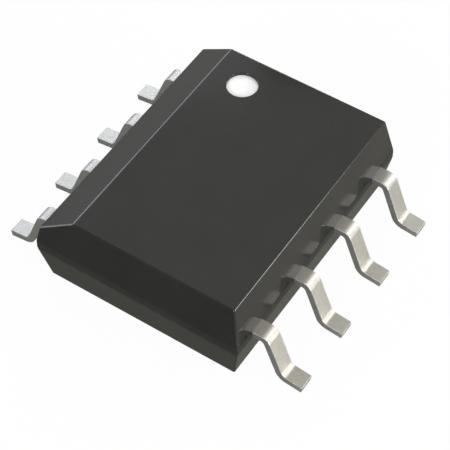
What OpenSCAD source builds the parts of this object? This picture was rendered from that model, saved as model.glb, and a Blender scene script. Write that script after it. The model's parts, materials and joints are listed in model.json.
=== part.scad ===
// Eight-lead small-outline package. A silicon die sits on the pad of a stamped lead frame, eight bond
// wires join it to eight gull-wing leads, and an epoxy body with drafted walls is moulded round them.
// X runs across the package and Y along it, pin 1 is at the far left, and Z rises from the board.

/* [Moulded body] */
// Width across the package at the parting line
body_width = 4; // [3.7:0.01:4.3]
// Length at the parting line
body_length = 5; // [4.7:0.01:5.4]
// Height of the top face above the board
package_height = 1.79; // [1.6:0.01:2]
// Gap between the underside and the board
standoff = 0.05; // [0.03:0.01:0.2]
// Height of the parting line above the board
parting_height = 0.912; // [0.86:0.001:0.96]
// Height of the upright band along the parting line
band_height = 0.18; // [0.16:0.01:0.24]
// Draft of the walls above and below the band
draft_angle = 10.5; // [6:0.5:14]
// Radius of the moulded edges
edge_radius = 0.03; // [0.01:0.005:0.05]
// Width of the bevel beside pins 1 to 4, seen from above
bevel_width = 0.63; // [0.4:0.01:0.8]
// Slope of that bevel
bevel_angle = 35.8; // [25:0.1:38]

/* [Pin 1 mark and ejector marks] */
// Radius of the round recess that marks pin 1
mark_radius = 0.28; // [0.2:0.01:0.4]
// Depth of that recess
mark_depth = 0.06; // [0.03:0.01:0.1]
// Distance from its centre to the two nearest edges of the top face
mark_inset = 0.63; // [0.5:0.01:0.8]
// Thickness of the ink on its floor
ink_thickness = 0.01; // [0.005:0.005:0.02]
// Radius of the two ejector-pin marks on the underside
ejector_radius = 0.4; // [0.2:0.05:0.6]
// Depth of the ejector-pin marks
ejector_depth = 0.03; // [0.01:0.01:0.06]
// Distance between their centres
ejector_spacing = 2.6; // [2:0.1:3]

/* [Formed leads] */
// Distance between neighbouring leads
pitch = 1.27; // [1.2:0.01:1.32]
// Width of a lead outside the body
lead_width = 0.31; // [0.24:0.01:0.42]
// Thickness of the lead-frame strip
lead_thickness = 0.13; // [0.1:0.005:0.15]
// Distance from the body's wall to the toe of a lead
lead_reach = 0.97; // [0.9:0.01:1.2]
// Length of the flat part of the foot
foot_length = 0.3; // [0.25:0.01:0.4]
// Tilt of the foot, toe down
foot_tilt = 7.2; // [0:0.1:8]
// Angle of the leg from upright
leg_angle = 20.9; // [10:0.1:25]
// Inside radius of the bend at the shoulder
bend_radius = 0.065; // [0.04:0.005:0.09]
// Inside radius of the bend above the foot
heel_radius = 0.125; // [0.06:0.005:0.15]

/* [Lead frame inside the body] */
// Width of the die pad
pad_width = 2.2; // [2:0.05:2.4]
// Length of the die pad
pad_length = 2.4; // [2.2:0.05:2.5]
// How far the pad lies below the leads
downset = 0.2; // [0.1:0.01:0.3]
// Width of the two tie bars that held the pad
tie_bar_width = 0.25; // [0.15:0.05:0.4]
// Epoxy over the cut end of each tie bar
tie_bar_cover = 0.08; // [0.05:0.01:0.15]
// Run of the slope that takes a tie bar down to the pad
tie_bar_slope = 0.22; // [0.15:0.01:0.4]
// Gap between the pad and the inner ends of the leads
lead_gap = 0.2; // [0.12:0.01:0.25]
// Width of the widened inner end of a lead
anchor_width = 0.56; // [0.5:0.01:0.7]
// Length of that inner end
anchor_length = 0.38; // [0.25:0.01:0.42]
// Length of the taper between inner end and neck
anchor_taper = 0.1; // [0.04:0.01:0.12]
// Side of the notches that lock an inner end in the epoxy
notch = 0.09; // [0.05:0.01:0.12]
// Reach of the corner leads along the end of the pad
finger_reach = 0.6; // [0.45:0.01:0.7]

/* [Die] */
// Width of the die
die_width = 1.4; // [1.1:0.05:1.8]
// Length of the die
die_length = 1.3; // [1.2:0.05:2]
// Thickness of the die
die_thickness = 0.28; // [0.15:0.01:0.32]
// Thickness of the adhesive under the die
adhesive_thickness = 0.02; // [0.01:0.005:0.04]
// Width of the adhesive that shows round the die
adhesive_margin = 0.05; // [0.02:0.01:0.1]

/* [Bond wires] */
// Diameter of the wire
wire_diameter = 0.03; // [0.02:0.005:0.05]
// Diameter of the ball that joins a wire to the die
ball_diameter = 0.08; // [0.06:0.005:0.1]
// Height of that ball
ball_height = 0.02; // [0.01:0.005:0.03]
// Height of the loop's control points above the ball
loop_height = 0.2; // [0.1:0.01:0.25]
// Share of the span at which the loop starts down
loop_lean = 0.45; // [0.2:0.05:0.6]
// Length of wire pressed on to the lead
stitch_length = 0.08; // [0.05:0.01:0.1]
// Distance between neighbouring balls along the die
ball_pitch = 0.35; // [0.25:0.01:0.38]
// Distance from the balls to the side of the die
ball_inset = 0.12; // [0.08:0.01:0.2]

/* [Hidden] */
pins_per_side = 4;
pin_count = 2 * pins_per_side;
$fn = 64;
// length of a cutter beyond the face that it opens
past = 1;

// heights and half widths of the moulding
half_width = body_width / 2;
half_length = body_length / 2;
band_top = parting_height + band_height / 2;
band_bottom = parting_height - band_height / 2;
draft = tan(draft_angle);
top_half_width = half_width - (package_height - band_top) * draft;
top_half_length = half_length - (package_height - band_top) * draft;
bottom_half_width = half_width - (band_bottom - standoff) * draft;
bevel_low_z = package_height - bevel_width * tan(bevel_angle);
bevel_low_x = -half_width + (bevel_low_z - band_top) * draft;
bevel_top_x = bevel_low_x + bevel_width;

// the moulding's sharp outline in X and Z, anticlockwise from the lower right corner
outline = [
    [bottom_half_width, standoff],
    [half_width, band_bottom],
    [half_width, band_top],
    [top_half_width, package_height],
    [bevel_top_x, package_height],
    [bevel_low_x, bevel_low_z],
    [-half_width, band_top],
    [-half_width, band_bottom],
    [-bottom_half_width, standoff]
];

// the lead frame lies in the parting plane
lead_top = parting_height + lead_thickness / 2;
lead_bottom = parting_height - lead_thickness / 2;
toe_x = half_width + lead_reach;
// distance between the centres of the two bends, measured square to the leg
bend_offset = bend_radius + lead_thickness + heel_radius;
// the leg is as long as it takes to bring the toe down to the board
leg_length = (lead_bottom - bend_radius + bend_offset * sin(leg_angle)
    - (heel_radius + lead_thickness) * cos(foot_tilt) - foot_length * sin(foot_tilt)) / cos(leg_angle);
// where the shoulder ends, so that the toe comes out at its reach
shoulder_x = toe_x - bend_offset * cos(leg_angle) - leg_length * sin(leg_angle)
    + heel_radius * sin(foot_tilt) - foot_length * cos(foot_tilt);

// inner ends of the leads, in plan
anchor_x = pad_width / 2 + lead_gap;
neck_x = anchor_x + anchor_length + anchor_taper;
corner_y = (pins_per_side - 1) / 2 * pitch;
finger_low_y = pad_length / 2 + lead_gap;
finger_high_y = corner_y + anchor_width / 2;
finger_x = anchor_x - finger_reach;

pad_top = lead_top - downset;
die_bottom = pad_top + adhesive_thickness;
die_top = die_bottom + die_thickness;
mark_x = bevel_top_x + mark_inset;
mark_y = top_half_length - mark_inset;

// sides and rings of the swept wire
wire_sides = 8;
wire_rings = 9;
wire_radius = wire_diameter / 2;
wire_seat = lead_top + wire_radius * cos(180 / wire_sides);

// Pins count down the left side from the far end and up the right side from the near end.
function side(pin) = pin <= pins_per_side ? -1 : 1;
function row(pin) = side(pin) < 0
    ? (pins_per_side + 1) / 2 - pin
    : pin - pins_per_side - (pins_per_side + 1) / 2;
function is_corner(pin) = abs(row(pin)) == (pins_per_side - 1) / 2;

// outward normal of an edge of the outline
function edge_normal(from, to) = let (run = to - from) [run.y, -run.x] / norm(run);

// centre of the rounding at a corner of the outline
function rounding_centre(i) =
    let (
        count = len(outline),
        before = edge_normal(outline[(i + count - 1) % count], outline[i]),
        after = edge_normal(outline[i], outline[(i + 1) % count])
    )
    outline[i] - edge_radius * (before + after) / (1 + before * after);

// how far the roundings of an end wall lie from the middle at height z
function rounding_y(z) =
    half_length - edge_radius / cos(draft_angle)
        - (z > parting_height ? z - band_top : band_bottom - z) * draft;

// The moulding's nine edges along Y and its end walls, all rounded alike.
module moulding() {
    hull()
        for (i = [0:len(outline) - 1], end = [-1, 1]) {
            centre = rounding_centre(i);
            translate([centre.x, end * rounding_y(centre.y), centre.y])
                sphere(edge_radius, $fn = 32);
        }
}

module mark_recess() {
    translate([mark_x, mark_y, package_height - mark_depth])
        cylinder(r = mark_radius, h = mark_depth + past);
}

module ejector_marks() {
    for (end = [-1, 1])
        translate([0, end * ejector_spacing / 2, standoff - past])
            cylinder(r = ejector_radius, h = ejector_depth + past);
}

// The epoxy closes on every face of what it was moulded round.
module body() {
    color([0.22, 0.22, 0.21])
        difference() {
            moulding();
            mark_recess();
            ejector_marks();
            die_pad();
            die_attach();
            die();
            for (pin = [1:pin_count]) {
                lead(pin);
                bond_wire(pin);
            }
        }
}

// A strip of the lead frame in side view runs along X, between 0 and its thickness. Each of these
// modules draws one stretch, and its children carry on from the end of it.
module straight(length) {
    square([length, lead_thickness]);
    translate([length, 0])
        children();
}

// sector of a bend round the origin, clockwise from upright through an angle
module bend_sector(radius, angle) {
    reach = 2 * (radius + lead_thickness);
    intersection() {
        difference() {
            circle(radius + lead_thickness);
            circle(radius);
        }
        translate([0, -reach])
            square([reach, 2 * reach]);
        rotate(-angle)
            translate([-reach, -reach])
                square([reach, 2 * reach]);
    }
}

module bend_down(radius, angle) {
    translate([0, -radius]) {
        bend_sector(radius, angle);
        rotate(-angle)
            translate([0, radius])
                children();
    }
}

module bend_up(radius, angle) {
    centre = radius + lead_thickness;
    translate([0, centre]) {
        mirror([0, 1])
            bend_sector(radius, angle);
        rotate(angle)
            translate([0, -centre])
                children();
    }
}

// Side view of a formed lead in X and Z, from the neck in the body out to the toe.
module lead_side_view() {
    start_x = neck_x - anchor_taper;
    translate([start_x, lead_bottom])
        straight(shoulder_x - start_x)
            bend_down(bend_radius, 90 - leg_angle)
                straight(leg_length)
                    bend_up(heel_radius, 90 - leg_angle - foot_tilt)
                        straight(foot_length);
}

// Inner end of a lead that points straight at the pad, with a lock notch in each side.
module anchor_plan() {
    difference() {
        polygon([
            [anchor_x, -anchor_width / 2],
            [anchor_x + anchor_length, -anchor_width / 2],
            [neck_x, -lead_width / 2],
            [neck_x, lead_width / 2],
            [anchor_x + anchor_length, anchor_width / 2],
            [anchor_x, anchor_width / 2]
        ]);
        for (edge = [-1, 1])
            translate([anchor_x + anchor_length - notch, edge * anchor_width / 2])
                square(notch, center = true);
    }
}

// Inner end of a corner lead, which turns in along the end of the pad.
module finger_plan() {
    translate([0, -corner_y])
        difference() {
            polygon([
                [finger_x, finger_low_y],
                [anchor_x + anchor_length, finger_low_y],
                [neck_x, corner_y - lead_width / 2],
                [neck_x, corner_y + lead_width / 2],
                [anchor_x + anchor_length, finger_high_y],
                [anchor_x, finger_high_y],
                [finger_x, corner_y]
            ]);
            translate([anchor_x + anchor_length - notch, finger_high_y])
                square(notch, center = true);
        }
}

module lead(pin) {
    color([0.78, 0.78, 0.75])
        translate([0, row(pin) * pitch, 0])
            mirror([side(pin) < 0 ? 1 : 0, 0, 0])
                mirror([0, row(pin) < 0 ? 1 : 0, 0]) {
                    rotate([90, 0, 0])
                        linear_extrude(lead_width, center = true)
                            lead_side_view();
                    translate([0, 0, lead_bottom])
                        linear_extrude(lead_thickness)
                            if (is_corner(pin))
                                finger_plan();
                            else
                                anchor_plan();
                }
}

// Side view of one tie bar in Y and Z, from the pad up its slope to the parting plane.
module tie_bar_side_view() {
    slope_y = pad_length / 2;
    polygon([
        [0, pad_top],
        [0, pad_top - lead_thickness],
        [slope_y, pad_top - lead_thickness],
        [slope_y + tie_bar_slope, lead_bottom],
        [half_length - tie_bar_cover, lead_bottom],
        [half_length - tie_bar_cover, lead_top],
        [slope_y + tie_bar_slope, lead_top],
        [slope_y, pad_top]
    ]);
}

// The pad with its two tie bars.
module die_pad() {
    color([0.72, 0.47, 0.32]) {
        translate([-pad_width / 2, -pad_length / 2, pad_top - lead_thickness])
            cube([pad_width, pad_length, lead_thickness]);
        for (turn = [0, 180])
            rotate([0, 0, turn])
                rotate([90, 0, 90])
                    linear_extrude(tie_bar_width, center = true)
                        tie_bar_side_view();
    }
}

module die_attach() {
    width = die_width + 2 * adhesive_margin;
    length = die_length + 2 * adhesive_margin;
    color([0.6, 0.6, 0.58])
        translate([-width / 2, -length / 2, pad_top])
            cube([width, length, adhesive_thickness]);
}

module die() {
    color([0.34, 0.36, 0.44])
        translate([-die_width / 2, -die_length / 2, die_bottom])
            cube([die_width, die_length, die_thickness]);
}

// where a wire starts on the die and where it ends on its lead, in plan
function ball_place(pin) = [side(pin) * (die_width / 2 - ball_inset), row(pin) * ball_pitch];
function stitch_place(pin) = is_corner(pin)
    ? [side(pin) * (anchor_x - finger_reach / 2),
       sign(row(pin)) * (finger_low_y + corner_y) / 2]
    : [side(pin) * (anchor_x + anchor_length / 3), row(pin) * pitch];

// a point on the wire's loop, along the wire and up, as t goes from the ball to the lead
function loop_point(t, run) =
    let (
        start = die_top + ball_height / 2,
        crest = start + loop_height
    )
    pow(1 - t, 3) * [0, start]
        + 3 * t * pow(1 - t, 2) * [0, crest]
        + 3 * pow(t, 2) * (1 - t) * [run * loop_lean, crest]
        + pow(t, 3) * [run, wire_seat];

function unit(v) = v / norm(v);

// Wire swept along its loop: rings of points square to the path, the last one at the end of the stitch.
module swept_wire(run) {
    path = concat(
        [for (k = [0:wire_rings - 1]) loop_point(k / (wire_rings - 1), run - stitch_length)],
        [[run, wire_seat]]
    );
    last = len(path) - 1;
    points = [
        for (k = [0:last])
            let (along = k == 0 ? [0, 1] : k == last ? [1, 0] : unit(path[k + 1] - path[k - 1]))
                for (j = [0:wire_sides - 1])
                    let (turn = 360 * (j + 0.5) / wire_sides, up = wire_radius * cos(turn))
                        [path[k].x - up * along.y, wire_radius * sin(turn), path[k].y + up * along.x]
    ];
    walls = [
        for (k = [0:last - 1], j = [0:wire_sides - 1])
            let (
                a = k * wire_sides + j,
                b = k * wire_sides + (j + 1) % wire_sides,
                faces = [[a, b, b + wire_sides], [a, b + wire_sides, a + wire_sides]]
            )
                each faces
    ];
    first_cap = [for (j = [wire_sides - 1:-1:0]) j];
    last_cap = [for (j = [0:wire_sides - 1]) last * wire_sides + j];
    polyhedron(points, concat([first_cap], walls, [last_cap]), convexity = 4);
}

module bond_wire(pin) {
    span = stitch_place(pin) - ball_place(pin);
    color([0.9, 0.72, 0.3])
        translate([ball_place(pin).x, ball_place(pin).y, 0])
            rotate(atan2(span.y, span.x)) {
                swept_wire(norm(span));
                translate([0, 0, die_top])
                    cylinder(d = ball_diameter, h = ball_height);
            }
}

// Ink on the floor of the recess.
module pin_1_mark() {
    color([0.95, 0.95, 0.93])
        translate([mark_x, mark_y, package_height - mark_depth])
            cylinder(r = mark_radius, h = ink_thickness);
}

body();
for (pin = [1:pin_count])
    lead(pin);
die_pad();
die_attach();
die();
for (pin = [1:pin_count])
    bond_wire(pin);
pin_1_mark();
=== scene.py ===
import json
from math import cos, pi, radians, sin, tan

import bmesh
import bpy
from mathutils import Matrix, Vector

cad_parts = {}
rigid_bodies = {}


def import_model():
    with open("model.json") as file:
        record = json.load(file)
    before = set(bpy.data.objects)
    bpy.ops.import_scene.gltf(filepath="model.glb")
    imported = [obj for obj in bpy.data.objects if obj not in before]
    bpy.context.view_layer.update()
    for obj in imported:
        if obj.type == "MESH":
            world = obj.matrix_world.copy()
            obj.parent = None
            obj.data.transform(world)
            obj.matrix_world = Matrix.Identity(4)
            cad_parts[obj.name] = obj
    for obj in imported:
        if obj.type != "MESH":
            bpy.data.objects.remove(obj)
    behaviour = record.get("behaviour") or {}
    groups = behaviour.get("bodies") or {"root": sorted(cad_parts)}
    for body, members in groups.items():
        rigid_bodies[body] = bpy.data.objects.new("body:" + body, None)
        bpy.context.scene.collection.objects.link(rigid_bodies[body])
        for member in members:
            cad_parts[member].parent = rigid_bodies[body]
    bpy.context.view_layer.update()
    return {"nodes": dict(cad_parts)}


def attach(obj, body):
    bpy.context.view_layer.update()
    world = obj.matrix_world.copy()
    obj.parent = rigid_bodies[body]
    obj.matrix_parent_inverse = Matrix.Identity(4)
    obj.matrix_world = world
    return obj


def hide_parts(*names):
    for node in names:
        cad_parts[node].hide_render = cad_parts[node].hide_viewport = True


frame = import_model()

millimetre = 0.001  # shapes are worked out in millimetres, and brought to metres when they are done
across, along, upward = Vector((1, 0, 0)), Vector((0, 1, 0)), Vector((0, 0, 1))


def vertsIn(items):
    return [item for item in items if isinstance(item, bmesh.types.BMVert)]


def edgesIn(items):
    return [item for item in items if isinstance(item, bmesh.types.BMEdge)]


def facesIn(items):
    return [item for item in items if isinstance(item, bmesh.types.BMFace)]


def pushFace(shape, face, move):
    grown = bmesh.ops.extrude_face_region(shape, geom=[face])["geom"]
    bmesh.ops.translate(shape, verts=vertsIn(grown), vec=move)
    return facesIn(grown)[0]


def turnFace(shape, face, centre, angle, steps):
    swept = bmesh.ops.spin(shape, geom=[face], cent=centre, axis=along, angle=angle, steps=steps)
    return facesIn(swept["geom_last"])[0]


def roundedBy(width, steps, limit):  # a bevel along the edges that the limit picks
    return ("BEVEL", {"width": width, "segments": steps, "profile": 0.5, "use_clamp_overlap": False, **limit})


evenShading = ("WEIGHTED_NORMAL", {"keep_sharp": True})


def makePiece(name, shape, materials, modifiers, node):
    shape.normal_update()
    mesh = bpy.data.meshes.new(name)
    shape.to_mesh(mesh)
    shape.free()
    for material in materials:
        mesh.materials.append(material)
    mesh.shade_smooth()
    draft = bpy.data.objects.new(name + "Draft", mesh)
    bpy.context.scene.collection.objects.link(draft)
    for kind, settings in modifiers:
        modifier = draft.modifiers.new(kind.lower(), kind)
        for key, value in settings.items():
            setattr(modifier, key, value)
    finished = draft.evaluated_get(bpy.context.evaluated_depsgraph_get())
    done = bpy.data.meshes.new_from_object(finished)
    bpy.data.objects.remove(draft)
    done.name = name
    done.transform(Matrix.Scale(millimetre, 4))
    piece = bpy.data.objects.new(name, done)
    bpy.context.scene.collection.objects.link(piece)
    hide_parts(node)
    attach(piece, "root")
    return piece


# a shader socket that can stand in a sum
class Signal:
    def __init__(self, graph, socket):
        self.graph, self.socket = graph, socket

    def maths(self, operation, *inputs):
        return self.graph.add("ShaderNodeMath", {"operation": operation}, dict(enumerate(inputs)))

    def __add__(self, other):
        return self.maths("ADD", self, other)

    def __radd__(self, other):
        return self.maths("ADD", other, self)

    def __sub__(self, other):
        return self.maths("SUBTRACT", self, other)

    def __rsub__(self, other):
        return self.maths("SUBTRACT", other, self)

    def __mul__(self, other):
        return self.maths("MULTIPLY", self, other)

    def __gt__(self, other):
        return self.maths("GREATER_THAN", self, other)

    def __lt__(self, other):
        return self.maths("LESS_THAN", self, other)

    def __abs__(self):
        return self.maths("ABSOLUTE", self)


class Graph:
    def __init__(self, name, tree=None):
        if tree is None:
            self.material = bpy.data.materials.new(name)
            self.material.use_nodes = True
            tree = self.material.node_tree
        tree.nodes.clear()
        self.tree = tree

    def add(self, kind, settings={}, inputs={}, output=0):
        node = self.tree.nodes.new(kind)
        for key, value in settings.items():
            setattr(node, key, value)
        for key, value in inputs.items():
            if isinstance(value, Signal):
                self.tree.links.new(value.socket, node.inputs[key])
            elif isinstance(value, tuple) and len(node.inputs[key].default_value) == 4:
                node.inputs[key].default_value = (*value, 1)
            else:
                node.inputs[key].default_value = value
        return Signal(self, node.outputs[output]) if node.outputs else None

    def place(self):  # a point's place on the object, in millimetres
        here = self.add("ShaderNodeTexCoord", output="Object")
        return self.add("ShaderNodeVectorMath", {"operation": "SCALE"}, {0: here, "Scale": 1 / millimetre})

    def stretched(self, place, amounts):
        return self.add("ShaderNodeVectorMath", {"operation": "MULTIPLY"}, {0: place, 1: amounts})

    def axis(self, place, name):
        return self.add("ShaderNodeSeparateXYZ", {}, {0: place}, name)

    def reach(self, place):  # how far the point is from the object's middle
        return self.add("ShaderNodeVectorMath", {"operation": "LENGTH"}, {0: place}, 1)

    def noise(self, place, scale, detail=3.0, roughness=0.55):
        values = {"Vector": place, "Scale": scale, "Detail": detail, "Roughness": roughness}
        return self.add("ShaderNodeTexNoise", {}, values)

    def steps(self, value, low, high):  # 0 below low, 1 above high, smooth between
        settings = {"interpolation_type": "SMOOTHSTEP"}
        return self.add("ShaderNodeMapRange", settings, {"Value": value, "From Min": low, "From Max": high})

    def blend(self, mask, below, above):
        return self.add("ShaderNodeMix", {"data_type": "RGBA"}, {0: mask, 6: below, 7: above}, 2)

    def bump(self, height, distance):
        return self.add("ShaderNodeBump", {}, {"Height": height, "Distance": distance, "Strength": 1.0})

    def surface(self, values):
        shader = self.add("ShaderNodeBsdfPrincipled", {}, values)
        self.add("ShaderNodeOutputMaterial", {}, {"Surface": shader})
        return self.material


# camera, at the photograph's angle
camera = {
    "azimuth": 33.257, "elevation": 52.005, "distance": 28.518, "target": (0.3665, -0.3633, 0.8),
    "focalPixels": 1686.35, "imagePixels": 450, "sensorWidth": 36, "clipStart": 0.001, "clipEnd": 20,
}


def placeCamera(c):
    azimuth, elevation = radians(c["azimuth"]), radians(c["elevation"])
    back = Vector((sin(azimuth) * cos(elevation), -cos(azimuth) * cos(elevation), sin(elevation)))
    lens = bpy.data.cameras.new("camera")
    lens.sensor_width = c["sensorWidth"]
    lens.lens = c["focalPixels"] / c["imagePixels"] * lens.sensor_width
    lens.clip_start, lens.clip_end = c["clipStart"], c["clipEnd"]
    holder = bpy.data.objects.new("camera", lens)
    holder.location = (Vector(c["target"]) + c["distance"] * back) * millimetre
    holder.rotation_euler = (-back).to_track_quat("-Z", "Y").to_euler()
    bpy.context.scene.collection.objects.link(holder)
    bpy.context.scene.camera = holder


placeCamera(camera)
print("camera placed")


# moulding compound: charcoal epoxy with a fine eroded texture and pale filler specks
epoxy = {
    "dark": (0.0115, 0.0115, 0.0110), "light": (0.0145, 0.0145, 0.0140), "speck": (0.040, 0.040, 0.038),
    "cloudScale": 1.1, "cloudShare": 0.6, "grainScale": 26.0, "grainShare": 0.4, "grainDepth": 0.0000003,
    "toneSpan": (0.35, 0.65), "speckScale": 60.0, "speckShare": 0.5, "speckSpan": (0.70, 0.76),
    # the edge specular is raised on the sideways edge rounds to paint highlight lines along them
    "roughness": 0.09, "roughnessSpread": 0.03, "faceSpecular": 0.5, "highlightSpecular": 1.0,
}


def makeEpoxy(e, name, specular):
    graph = Graph(name)
    place = graph.place()
    cloud = graph.noise(place, e["cloudScale"], 2.0)
    grain = graph.noise(place, e["grainScale"], 4.0, 0.6)
    specks = graph.steps(graph.noise(place, e["speckScale"], 1.0), *e["speckSpan"])
    mottle = cloud * e["cloudShare"] + grain * e["grainShare"]
    tone = graph.blend(graph.steps(mottle, *e["toneSpan"]), e["dark"], e["light"])
    return graph.surface({
        "Base Color": graph.blend(specks * e["speckShare"], tone, e["speck"]),
        "Roughness": e["roughness"] + (grain - 0.5) * e["roughnessSpread"],
        "IOR": 1.5, "Specular IOR Level": specular, "Normal": graph.bump(grain, e["grainDepth"]),
    })


# moulded body
moulding = {
    "halfWidth": 2.0, "halfLength": 2.5, "underside": 0.05, "top": 1.79,
    "bandBottom": 0.822, "bandTop": 1.002, "draft": radians(10.5),
    "bevelWidth": 0.663, "bevelAngle": radians(34.43),
    "topRound": 0.024, "cornerRound": 0.03, "bandRound": 0.03, "rimRound": 0.008, "roundSteps": 5,
    "recessRadius": 0.28, "recessDepth": 0.06, "recessInset": 0.63,
    "ejectorRadius": 0.4, "ejectorDepth": 0.03, "ejectorSpacing": 2.6,
    "collar": 0.02, "floorInset": 0.9, "circleSteps": 96,
    "bandAngle": radians(15), "wallZ": 0.3,
    # which edge rounds take the painted highlight specular: leaning sideways, off the bevel face and the mark
    "highlightX": 0.08, "highlightZ": (0.25, 0.999), "bevelSpread": radians(0.5),
}


def bevelLine(m):  # where the bevel meets the left wall and the top, in X and Z
    lowZ = m["top"] - m["bevelWidth"] * tan(m["bevelAngle"])
    lowX = (lowZ - m["bandTop"]) * tan(m["draft"]) - m["halfWidth"]
    return lowX, lowZ, lowX + m["bevelWidth"]


def cutAway(shape, point, normal):
    everything = shape.verts[:] + shape.edges[:] + shape.faces[:]
    cut = bmesh.ops.bisect_plane(
        shape, geom=everything, dist=1e-5, plane_co=point, plane_no=normal, clear_outer=True)
    bmesh.ops.holes_fill(shape, edges=edgesIn(cut["geom_cut"]))


# opens round recesses in a flat face: a collar, the wall and the floor of each
def sinkRecesses(shape, face, centres, radius, depth, m):
    inward = -face.normal
    outer = list(face.edges)
    bmesh.ops.delete(shape, geom=[face], context="FACES_ONLY")
    rings = []
    for centre in centres:
        ring = bmesh.ops.create_circle(
            shape, radius=radius + m["collar"], segments=m["circleSteps"], matrix=Matrix.Translation(centre))
        rings.append(list(dict.fromkeys(edge for vert in ring["verts"] for edge in vert.link_edges)))
    fillEdges = outer + [edge for ring in rings for edge in ring]
    bmesh.ops.triangle_fill(shape, use_beauty=True, edges=fillEdges, normal=-inward)
    rounded = []
    for centre, ring in zip(centres, rings):
        shrink = radius / (radius + m["collar"])
        middle = Matrix.Translation(-centre)
        rim = bmesh.ops.extrude_edge_only(shape, edges=ring)["geom"]
        bmesh.ops.scale(shape, verts=vertsIn(rim), vec=(shrink, shrink, 1), space=middle)
        wall = bmesh.ops.extrude_edge_only(shape, edges=edgesIn(rim))["geom"]
        bmesh.ops.translate(shape, verts=vertsIn(wall), vec=inward * depth)
        floor = bmesh.ops.extrude_edge_only(shape, edges=edgesIn(wall))["geom"]
        bmesh.ops.scale(shape, verts=vertsIn(floor), vec=(m["floorInset"], m["floorInset"], 1), space=middle)
        bmesh.ops.holes_fill(shape, edges=edgesIn(floor))
        rounded += edgesIn(rim) + edgesIn(wall)
    return rounded


def edgeRound(m, edge):  # the band's soft edges, the four corners, and all others
    first, second = (face.normal for face in edge.link_faces)
    if first.angle(second) < m["bandAngle"]:
        return m["bandRound"]
    if abs(first.z) < m["wallZ"] and abs(second.z) < m["wallZ"]:
        return m["cornerRound"]
    return m["topRound"]


def makeMoulding(m):
    shape = bmesh.new()
    weights = shape.edges.layers.float.new("bevel_weight_edge")
    bmesh.ops.create_cube(shape, size=1)
    block = (2 * m["halfWidth"], 2 * m["halfLength"], m["top"] - m["underside"])
    bmesh.ops.scale(shape, verts=shape.verts, vec=block)
    bmesh.ops.translate(shape, verts=shape.verts, vec=upward * (m["top"] + m["underside"]) / 2)
    for side in (across, -across, along, -along):
        reach = side * (m["halfWidth"] if side.x else m["halfLength"])
        outward, lean = side * cos(m["draft"]), upward * sin(m["draft"])
        cutAway(shape, reach + upward * m["bandTop"], outward + lean)
        cutAway(shape, reach + upward * m["bandBottom"], outward - lean)
    lowX, lowZ, topX = bevelLine(m)
    bevelNormal = upward * cos(m["bevelAngle"]) - across * sin(m["bevelAngle"])
    cutAway(shape, Vector((lowX, 0, lowZ)), bevelNormal)
    shape.normal_update()

    rounds = {edge: edgeRound(m, edge) for edge in shape.edges}
    ends = sorted(shape.faces, key=lambda face: face.calc_center_median().z)
    farY = m["halfLength"] - (m["top"] - m["bandTop"]) * tan(m["draft"])
    markAt = Vector((topX + m["recessInset"], farY - m["recessInset"], m["top"]))
    ejectors = [Vector((0, end * m["ejectorSpacing"] / 2, m["underside"])) for end in (-1, 1)]
    rims = sinkRecesses(shape, ends[-1], [markAt], m["recessRadius"], m["recessDepth"], m)
    rims += sinkRecesses(shape, ends[0], ejectors, m["ejectorRadius"], m["ejectorDepth"], m)
    for edge in rims:
        rounds[edge] = m["rimRound"]
    widest = max(rounds.values())
    for edge, amount in rounds.items():
        edge[weights] = amount / widest
    bmesh.ops.recalc_face_normals(shape, faces=shape.faces)
    rounding = roundedBy(widest, m["roundSteps"], {"limit_method": "WEIGHT"})
    faceEpoxy = makeEpoxy(epoxy, "mouldedEpoxy", epoxy["faceSpecular"])
    # a second copy of the epoxy with a stronger specular paints highlight lines on the edge rounds
    highlightEdgeEpoxy = makeEpoxy(epoxy, "highlightEpoxy", epoxy["highlightSpecular"])
    body = makePiece("mouldedBody", shape, [faceEpoxy, highlightEdgeEpoxy], [rounding, evenShading], "body")

    # the sideways edge rounds of the top and the bevel take a stronger specular than the faces: a painted
    # highlight line, not a smoother finish
    lowest, highest = m["highlightZ"]
    for face in body.data.polygons:
        onMark = (face.center / millimetre - markAt).length < m["recessRadius"] + 2 * m["collar"]
        onBevel = face.normal.angle(bevelNormal) < m["bevelSpread"]
        sloping = lowest < face.normal.z < highest and abs(face.normal.x) > m["highlightX"]
        face.material_index = int(sloping and not onBevel and not onMark)
    return body, markAt


body, markAt = makeMoulding(moulding)
print("moulded body:", len(body.data.polygons), "faces")


# white ink that fills the floor of the pin 1 recess
ink = {
    "thickness": 0.01, "rimRound": 0.004, "rimSteps": 3,
    "colour": (0.96, 0.96, 0.95), "shade": (0.90, 0.90, 0.89), "grainScale": 22.0,
    "roughness": 0.55, "roughnessSpread": 0.1, "dentScale": 9.0, "dentDepth": 0.000002,
}


def makeInk(i, m, centre):
    graph = Graph("markingInk")
    place = graph.place()
    grain = graph.noise(place, i["grainScale"])
    material = graph.surface({
        "Base Color": graph.blend(grain, i["shade"], i["colour"]),
        "Roughness": i["roughness"] + (grain - 0.5) * i["roughnessSpread"],
        "Normal": graph.bump(graph.noise(place, i["dentScale"], 2.0), i["dentDepth"]),
    })
    shape = bmesh.new()
    bottom = Matrix.Translation(centre - upward * m["recessDepth"])
    bmesh.ops.create_circle(
        shape, cap_ends=True, radius=m["recessRadius"], segments=m["circleSteps"], matrix=bottom)
    top = pushFace(shape, shape.faces[:][0], upward * i["thickness"])
    bmesh.ops.bevel(
        shape, geom=list(top.edges), offset=i["rimRound"], offset_type="OFFSET",
        segments=i["rimSteps"], profile=0.5, affect="EDGES", material=-1)
    bmesh.ops.recalc_face_normals(shape, faces=shape.faces)
    return makePiece("pinOneInk", shape, [material], [evenShading], "pin_1_mark")


makeInk(ink, moulding, markAt)
print("pin 1 mark inked")


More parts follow.
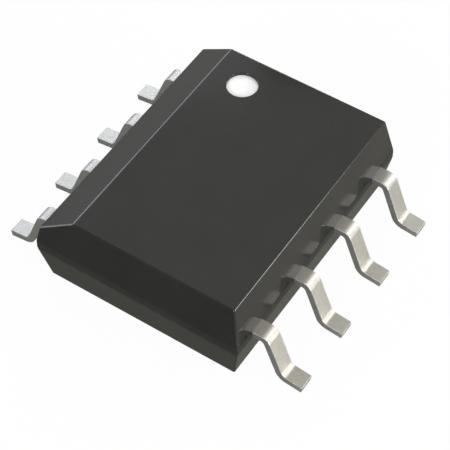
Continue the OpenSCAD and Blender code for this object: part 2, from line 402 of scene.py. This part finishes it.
# tin over the lead strip outside the body; inside it the copper is bare, with silver under the stitches
plating = {
    "tin": (0.63, 0.62, 0.595), "tinShade": (0.51, 0.50, 0.475),
    "sheared": (0.56, 0.56, 0.54), "shearedShade": (0.44, 0.44, 0.42), "shearedRoughness": 0.12,
    "copper": (0.72, 0.40, 0.27), "silver": (0.86, 0.85, 0.82),
    "silverBorder": (1.52, 1.54), "tinBorder": (1.95, 1.97),
    "roughness": 0.43, "roughnessSpread": 0.08, "grainScale": 42.0, "grainDepth": 0.0000020,
    "streakScale": 60.0, "rolledStretch": (0.12, 1.0, 0.12), "shearedStretch": (1.0, 1.0, 0.15),
    "grainShare": 0.65, "streakShare": 0.35, "mottleSpan": (0.36, 0.64),
}


def makePlating(p, sheared):
    graph = Graph("tinSheared" if sheared else "tinRolled")
    place = graph.place()
    reach = abs(graph.axis(place, "X"))
    grain = graph.noise(place, p["grainScale"], 3.0, 0.6)
    stretch = p["shearedStretch"] if sheared else p["rolledStretch"]
    streaks = graph.noise(graph.stretched(place, stretch), p["streakScale"], 2.0)
    mottle = grain * p["grainShare"] + streaks * p["streakShare"]
    pale, deep = (p["sheared"], p["shearedShade"]) if sheared else (p["tin"], p["tinShade"])
    tin = graph.blend(graph.steps(mottle, *p["mottleSpan"]), deep, pale)
    inner = graph.blend(graph.steps(reach, *p["silverBorder"]), p["silver"], p["copper"])
    roughness = p["roughness"] + (mottle - 0.5) * p["roughnessSpread"]
    return graph.surface({
        "Base Color": graph.blend(graph.steps(reach, *p["tinBorder"]), inner, tin),
        "Metallic": 1.0, "Roughness": roughness + (p["shearedRoughness"] if sheared else 0.0),
        "Normal": graph.bump(mottle, p["grainDepth"]),
    })


# formed leads
strip = {
    "width": 0.31, "thickness": 0.13, "middleZ": 0.912, "pitch": 1.27, "toeX": 2.97,
    "footLength": 0.3, "footTilt": radians(7.2), "legAngle": radians(20.9),
    "bendRadius": 0.065, "heelRadius": 0.125, "bendSteps": 12,
    "anchorX": 1.3, "anchorLength": 0.38, "anchorTaper": 0.1, "anchorWidth": 0.56, "notch": 0.09,
    "fingerX": 0.7, "fingerLowY": 1.4,
    "edgeRound": 0.011, "roundSteps": 3, "roundAngle": radians(32),
    "shearedY": 0.5, "shearedZ": 0.3, "heldX": 1.9,
}


# inner end of a lead in plan: a notched anchor, or a finger that turns in along the end of the die pad
def planOutline(s, corner):
    frontX, backX = s["anchorX"], s["anchorX"] + s["anchorLength"]
    neckX = backX + s["anchorTaper"]
    half, wide, cut = s["width"] / 2, s["anchorWidth"] / 2, s["notch"] / 2
    nearX, farX = backX - cut, backX - 3 * cut
    notch = [(nearX, wide), (nearX, wide - cut), (farX, wide - cut), (farX, wide)]
    neck = [(neckX, -half), (neckX, half), (backX, wide)]
    if corner:
        low = s["fingerLowY"] - 1.5 * s["pitch"]
        return neck + notch + [(frontX, wide), (s["fingerX"], 0), (s["fingerX"], low), (backX, low)]
    otherNotch = [(x, -y) for x, y in reversed(notch)]
    return neck + notch + [(frontX, wide), (frontX, -wide)] + otherNotch + [(backX, -wide)]


def makeLead(s, pin, materials):
    side, row = (-1, 2.5 - pin) if pin < 5 else (1, pin - 6.5)
    bend, thick, heel, foot = s["bendRadius"], s["thickness"], s["heelRadius"], s["footLength"]
    leg, tilt = s["legAngle"], s["footTilt"]
    lowZ, offset = s["middleZ"] - thick / 2, bend + thick + heel
    legDrop = lowZ - bend + offset * sin(leg) - (heel + thick) * cos(tilt) - foot * sin(tilt)
    legLength = legDrop / cos(leg)
    legReach = offset * cos(leg) + legLength * sin(leg)
    shoulderX = s["toeX"] - legReach + heel * sin(tilt) - foot * cos(tilt)

    shape = bmesh.new()
    outline = planOutline(s, abs(row) == 1.5)
    corners = [shape.verts.new((x, y, lowZ)) for x, y in outline]
    plan = bmesh.ops.contextual_create(shape, geom=corners)["faces"][0]
    pushFace(shape, plan, upward * thick)
    shape.normal_update()
    end = max(shape.faces, key=lambda face: face.calc_center_median().x)

    # shoulder, bend down, leg, bend up, foot
    end = pushFace(shape, end, across * (shoulderX - max(x for x, y in outline)))
    bendCentre = Vector((shoulderX, 0, lowZ - bend))
    end = turnFace(shape, end, bendCentre, pi / 2 - leg, s["bendSteps"])
    down = across * sin(leg) - upward * cos(leg)
    end = pushFace(shape, end, down * legLength)
    heelCentre = bendCentre + (across * cos(leg) + upward * sin(leg)) * offset + down * legLength
    end = turnFace(shape, end, heelCentre, -(pi / 2 - leg - tilt), s["bendSteps"])
    pushFace(shape, end, (across * cos(tilt) - upward * sin(tilt)) * foot)

    # each push and turn leaves the face that it started from inside the strip
    inner = [face for face in shape.faces if all(len(edge.link_faces) > 2 for edge in face.edges)]
    bmesh.ops.delete(shape, geom=inner, context="FACES_ONLY")

    bmesh.ops.scale(shape, verts=shape.verts, vec=(side, 1 if row > 0 else -1, 1))
    bmesh.ops.translate(shape, verts=shape.verts, vec=along * row * s["pitch"])
    bmesh.ops.recalc_face_normals(shape, faces=shape.faces)
    limit = {"limit_method": "ANGLE", "angle_limit": s["roundAngle"]}
    rounding = roundedBy(s["edgeRound"], s["roundSteps"], limit)
    lead = makePiece(
        f"formedLead{pin}", shape, materials, [rounding, evenShading], f"lead_{pin}")

    # the press shears the strip's sides, and the anchor's outline inside the body
    for face in lead.data.polygons:
        held = abs(face.center.x) / millimetre < s["heldX"]
        upright = abs(face.normal.z) < s["shearedZ"]
        face.material_index = int(abs(face.normal.y) > s["shearedY"] or (held and upright))


platings = [makePlating(plating, False), makePlating(plating, True)]
for pin in range(1, 9):
    makeLead(strip, pin, platings)
print("eight leads formed")


# die pad, adhesive, die and wires keep their solids and take their finish
copper = {
    "colour": (0.72, 0.42, 0.29), "shade": (0.58, 0.31, 0.20), "toneSpan": (0.35, 0.65),
    "rollStretch": (1.0, 0.06, 1.0), "rollScale": 40.0, "rollShare": 0.5, "rollDepth": 0.000001,
    "stainScale": 2.2, "stainShare": 0.5,
    "roughness": 0.28, "roughnessSpread": 0.16,
}


def makeCopper(c):
    graph = Graph("frameCopper")
    place = graph.place()
    rolled = graph.noise(graph.stretched(place, c["rollStretch"]), c["rollScale"], 3.0)
    stain = graph.noise(place, c["stainScale"], 3.0)
    tone = graph.steps(rolled * c["rollShare"] + stain * c["stainShare"], *c["toneSpan"])
    return graph.surface({
        "Base Color": graph.blend(tone, c["shade"], c["colour"]), "Metallic": 1.0,
        "Roughness": c["roughness"] + rolled * c["roughnessSpread"],
        "Normal": graph.bump(rolled, c["rollDepth"]),
    })


adhesive = {
    "colour": (0.56, 0.56, 0.55), "shade": (0.40, 0.40, 0.40), "toneSpan": (0.4, 0.6),
    "flakeScale": 45.0, "flakeDepth": 0.000003, "flakeMetal": 0.5, "roughness": 0.62, "roughnessSpread": 0.2,
}


def makeAdhesive(a):
    graph = Graph("silverAdhesive")
    flakes = graph.noise(graph.place(), a["flakeScale"], 3.0, 0.7)
    return graph.surface({
        "Base Color": graph.blend(graph.steps(flakes, *a["toneSpan"]), a["shade"], a["colour"]),
        "Metallic": flakes * a["flakeMetal"], "Roughness": a["roughness"] - flakes * a["roughnessSpread"],
        "Normal": graph.bump(flakes, a["flakeDepth"]),
    })


silicon = {
    "colour": (0.10, 0.11, 0.16), "sheen": (0.17, 0.15, 0.22), "metal": 0.25, "blockScale": 4.0,
    "pad": (0.75, 0.76, 0.78), "padMetal": 0.9,
    "padX": 0.58, "padPitch": 0.35, "padSize": 0.055, "padZ": 1.07,
    "roughness": 0.16, "roughnessSpread": 0.12, "hazeScale": 12.0,
}


def makeSilicon(s):
    graph = Graph("passivatedSilicon")
    place = graph.place()
    x, y, z = (graph.axis(place, name) for name in "XYZ")
    row = abs(abs(abs(y) - s["padPitch"]) - s["padPitch"] / 2)  # 0 in line with each ball
    pads = (abs(abs(x) - s["padX"]) < s["padSize"]) * (row < s["padSize"]) * (z > s["padZ"])
    bricks = {"offset": 0.35, "offset_frequency": 2, "squash": 0.7, "squash_frequency": 3}
    greys = {"Color1": (0.2,) * 3, "Color2": (0.8,) * 3, "Mortar": (0.45,) * 3}
    sizes = {"Vector": place, "Scale": s["blockScale"], "Mortar Size": 0.03}
    blocks = graph.add("ShaderNodeTexBrick", bricks, {**greys, **sizes}, "Color")
    tint = graph.blend(blocks, s["colour"], s["sheen"])
    return graph.surface({
        "Base Color": graph.blend(pads, tint, s["pad"]),
        "Metallic": pads * s["padMetal"] + (1 - pads) * s["metal"],
        "Roughness": s["roughness"] + graph.noise(place, s["hazeScale"]) * s["roughnessSpread"],
    })


gold = {
    "colour": (0.90, 0.66, 0.28), "shade": (0.82, 0.58, 0.22), "drawScale": 15.0,
    "roughness": 0.2, "roughnessSpread": 0.12,
}


def makeGold(g):
    graph = Graph("bondGold")
    drawn = graph.noise(graph.place(), g["drawScale"], 2.0)
    return graph.surface({
        "Base Color": graph.blend(drawn, g["shade"], g["colour"]), "Metallic": 1.0,
        "Roughness": g["roughness"] + drawn * g["roughnessSpread"],
    })


def dress(names, material):
    for name in names:
        mesh = frame["nodes"][name].data
        mesh.materials.clear()
        mesh.materials.append(material)


dress(["die_pad"], makeCopper(copper))
dress(["die_attach"], makeAdhesive(adhesive))
dress(["die"], makeSilicon(silicon))
dress([f"bond_wire_{pin}" for pin in range(1, 9)], makeGold(gold))
print("inner pieces finished")


# studio: a white floor, a pale world and soft lamps
studio = {
    "floorSize": 3.0, "floorSteps": 64, "floorColour": (0.75, 0.75, 0.75), "cameraShare": 0.97,
    # glows seen only in reflections: dark near the package as a painted shadow, warm on the right as a
    # painted reflection, brighter further out
    "nearShadeGlow": (0.205, 0.205, 0.175), "warmPatchGlow": (0.44, 0.43, 0.38), "warmPatchFrom": 2.5, "warmPatchTo": 3.2,
    "openGlow": (0.50, 0.50, 0.48), "openFrom": 3.0, "openTo": 16,
    "world": (0.432, 0.414, 0.345),
    "lampDistance": 60, "lampAim": (0, 0, 0.9),
    "lamps": [  # name, height and bearing in degrees, width and depth in millimetres, watts, colour
        ("rightBackLamp", 10, 60, 20, 16, 0.0125, (0.86, 0.90, 1.00)),
        ("lowLeftLamp", 3, 165, 30, 8, 0.00210, (0.58, 0.68, 1.00)),
        ("cornerLamp", 43, 126, 8, 8, 0.00014, (0.86, 0.93, 1.00)),
        ("skyLamp", 55, 122, 36, 18, 0.00080, (0.93, 0.98, 1.00)),
        ("keyLamp", 40, 36, 10, 16, 0.0037, (0.94, 0.94, 1.00)),
        ("keyEdgeLamp", 48, 50, 10, 12, 0.00240, (1.00, 1.00, 0.92)),
        ("backLamp", 32, 118, 13, 13, 0.00720, (0.84, 0.89, 1.00)),
        ("leftLamp", 44, 160, 13, 13, 0.0020, (0.76, 0.84, 1.00)),
        ("frontRimLamp", 6, 200, 20, 10, 0.00222, (0.93, 0.98, 1.00)),
        ("rightLamp", 10, 0, 20, 20, 0.0350, (1.00, 0.97, 0.89)),
        ("frontLamp", 30, 270, 20, 20, 0.0220, (0.79, 0.81, 1.00)),
        ("sideBackLamp", 22, 148, 26, 13, 0.0037, (0.74, 0.81, 1.00)),
    ],
}


def makeFloor(s):
    graph = Graph("paperFloor")
    rays = ("Camera", "Glossy", "Transmission")
    toCamera, toGloss, toGlass = (graph.add("ShaderNodeLightPath", {}, {}, f"Is {ray} Ray") for ray in rays)
    mirrored = toGloss + toGlass
    place = graph.place()
    warmPatch = graph.steps(graph.axis(place, "X"), s["warmPatchFrom"], s["warmPatchTo"])  # a warm patch on the right that glows only in reflections, a painted reflection
    # in reflections the floor glows darker within a few millimetres of the package, a painted shadow, and
    # brighter further out
    outOfNearShade = graph.steps(graph.reach(place), s["openFrom"], s["openTo"])
    paperGlowShadedNear = graph.blend(outOfNearShade, s["nearShadeGlow"], s["openGlow"])
    # reflections see the painted warm patch on the right and the painted shade near the package
    shown = graph.blend(mirrored, (1.0, 1.0, 1.0), graph.blend(warmPatch, paperGlowShadedNear, s["warmPatchGlow"]))
    share = toCamera * s["cameraShare"] + mirrored  # the rest is plain paper, which keeps the shadow
    paper = graph.add("ShaderNodeBsdfDiffuse", {}, {"Color": s["floorColour"]})
    glow = graph.add("ShaderNodeEmission", {}, {"Color": shown, "Strength": 1.0})
    mixed = graph.add("ShaderNodeMixShader", {}, {0: share, 1: paper, 2: glow})
    graph.add("ShaderNodeOutputMaterial", {}, {"Surface": mixed})
    shape = bmesh.new()
    bmesh.ops.create_circle(shape, cap_ends=True, radius=s["floorSize"] / 2, segments=s["floorSteps"])
    mesh = bpy.data.meshes.new("floor")
    shape.to_mesh(mesh)
    shape.free()
    mesh.materials.append(graph.material)
    floor = bpy.data.objects.new("floor", mesh)
    bpy.context.scene.collection.objects.link(floor)


def hangLamp(s, name, height, bearing, width, depth, power, colour):
    height, bearing = radians(height), radians(bearing)
    away = Vector((cos(height) * cos(bearing), cos(height) * sin(bearing), sin(height)))
    light = bpy.data.lights.new(name, "AREA")
    light.shape, light.size, light.size_y = "RECTANGLE", width * millimetre, depth * millimetre
    light.energy, light.color = power, colour
    lamp = bpy.data.objects.new(name, light)
    lamp.location = (Vector(s["lampAim"]) + s["lampDistance"] * away) * millimetre
    lamp.rotation_euler = away.to_track_quat("Z", "Y").to_euler()
    bpy.context.scene.collection.objects.link(lamp)


def lightScene(s):
    world = bpy.data.worlds.new("studio")
    bpy.context.scene.world = world
    world.use_nodes = True
    graph = Graph("studio", world.node_tree)
    air = graph.add("ShaderNodeBackground", {}, {"Color": s["world"], "Strength": 1.0})
    graph.add("ShaderNodeOutputWorld", {}, {"Surface": air})
    for lamp in s["lamps"]:
        hangLamp(s, *lamp)


makeFloor(studio)
lightScene(studio)
bpy.context.scene.view_settings.view_transform = "Standard"
print("studio lit")
